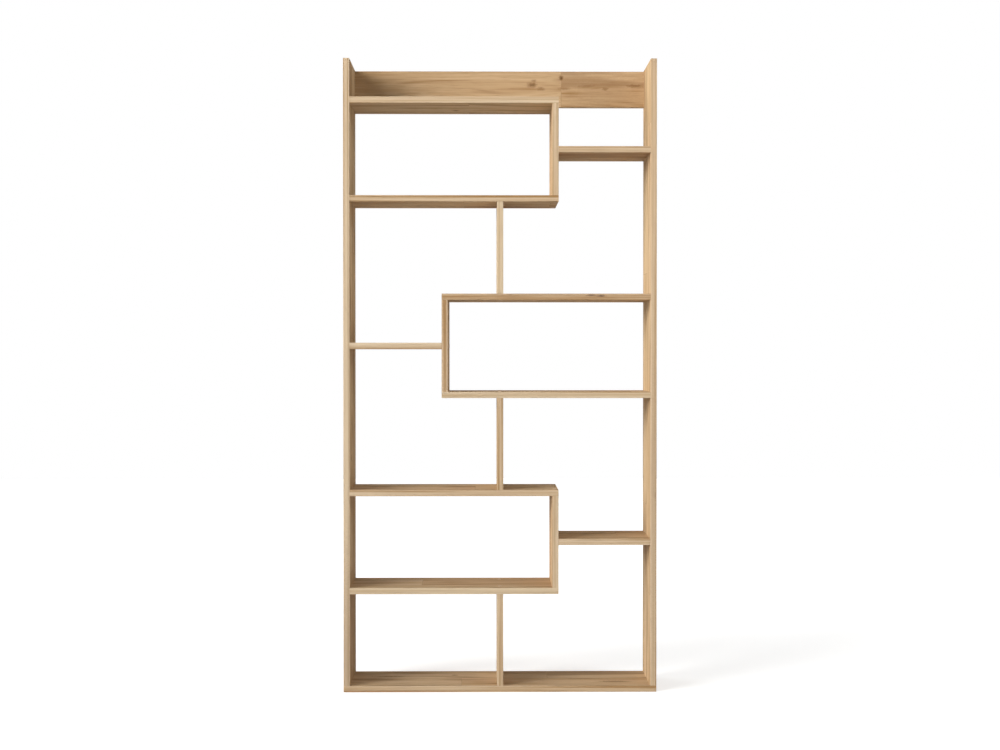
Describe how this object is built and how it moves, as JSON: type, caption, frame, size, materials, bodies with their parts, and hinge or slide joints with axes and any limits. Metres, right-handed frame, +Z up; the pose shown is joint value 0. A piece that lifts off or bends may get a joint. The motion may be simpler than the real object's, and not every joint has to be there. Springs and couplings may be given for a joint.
{
  "type": "staircase bookshelf",
  "caption": "Tall open-backed bookcase of oak-look boards whose boxed shelves step from side to side up the case, with short bridging shelves, centre dividers and a rear top rail.",
  "frame": {"origin": "middle of the case's footprint, on the floor under the bottom panel", "axes": "+X to the right seen from the front, +Y from the front to the back, +Z up"},
  "size_m": [0.9024, 0.22, 1.82],
  "materials": {
    "oak_board": "satin melamine face with a printed golden oak grain",
    "oak_edge_band": "satin plastic edge band with the same printed oak grain",
    "zinc_steel": "bright zinc plated steel",
    "beech": "bare turned beech",
    "cap_plastic": "fine matt plastic in the colour of the boards"
  },
  "bodies": {
    "root": {"bottom_panel": "oak_board", "left_side_panel": "oak_board", "right_side_panel": "oak_board", "back_rail": "oak_board", "top_box_upper_shelf": "oak_board", "top_box_lower_shelf": "oak_board", "top_box_divider": "oak_board", "middle_box_upper_shelf": "oak_board", "middle_box_lower_shelf": "oak_board", "middle_box_divider": "oak_board", "bottom_box_upper_shelf": "oak_board", "bottom_box_lower_shelf": "oak_board", "bottom_box_divider": "oak_board", "upper_right_short_shelf": "oak_board", "left_short_shelf": "oak_board", "lower_right_short_shelf": "oak_board", "upper_centre_divider": "oak_board", "middle_centre_divider": "oak_board", "lower_centre_divider": "oak_board", "bottom_panel_edge_band": "oak_edge_band", "left_side_panel_edge_band": "oak_edge_band", "right_side_panel_edge_band": "oak_edge_band", "back_rail_edge_band": "oak_edge_band", "top_box_upper_shelf_edge_band": "oak_edge_band", "top_box_lower_shelf_edge_band": "oak_edge_band", "top_box_divider_edge_band": "oak_edge_band", "middle_box_upper_shelf_edge_band": "oak_edge_band", "middle_box_lower_shelf_edge_band": "oak_edge_band", "middle_box_divider_edge_band": "oak_edge_band", "bottom_box_upper_shelf_edge_band": "oak_edge_band", "bottom_box_lower_shelf_edge_band": "oak_edge_band", "bottom_box_divider_edge_band": "oak_edge_band", "upper_right_short_shelf_edge_band": "oak_edge_band", "left_short_shelf_edge_band": "oak_edge_band", "lower_right_short_shelf_edge_band": "oak_edge_band", "upper_centre_divider_edge_band": "oak_edge_band", "middle_centre_divider_edge_band": "oak_edge_band", "lower_centre_divider_edge_band": "oak_edge_band", "assembly_screws": "zinc_steel", "wood_dowels": "beech", "screw_caps": "cap_plastic", "wall_hanger_plates": "zinc_steel", "wall_hanger_screws": "zinc_steel"}
  },
  "joints": []
}
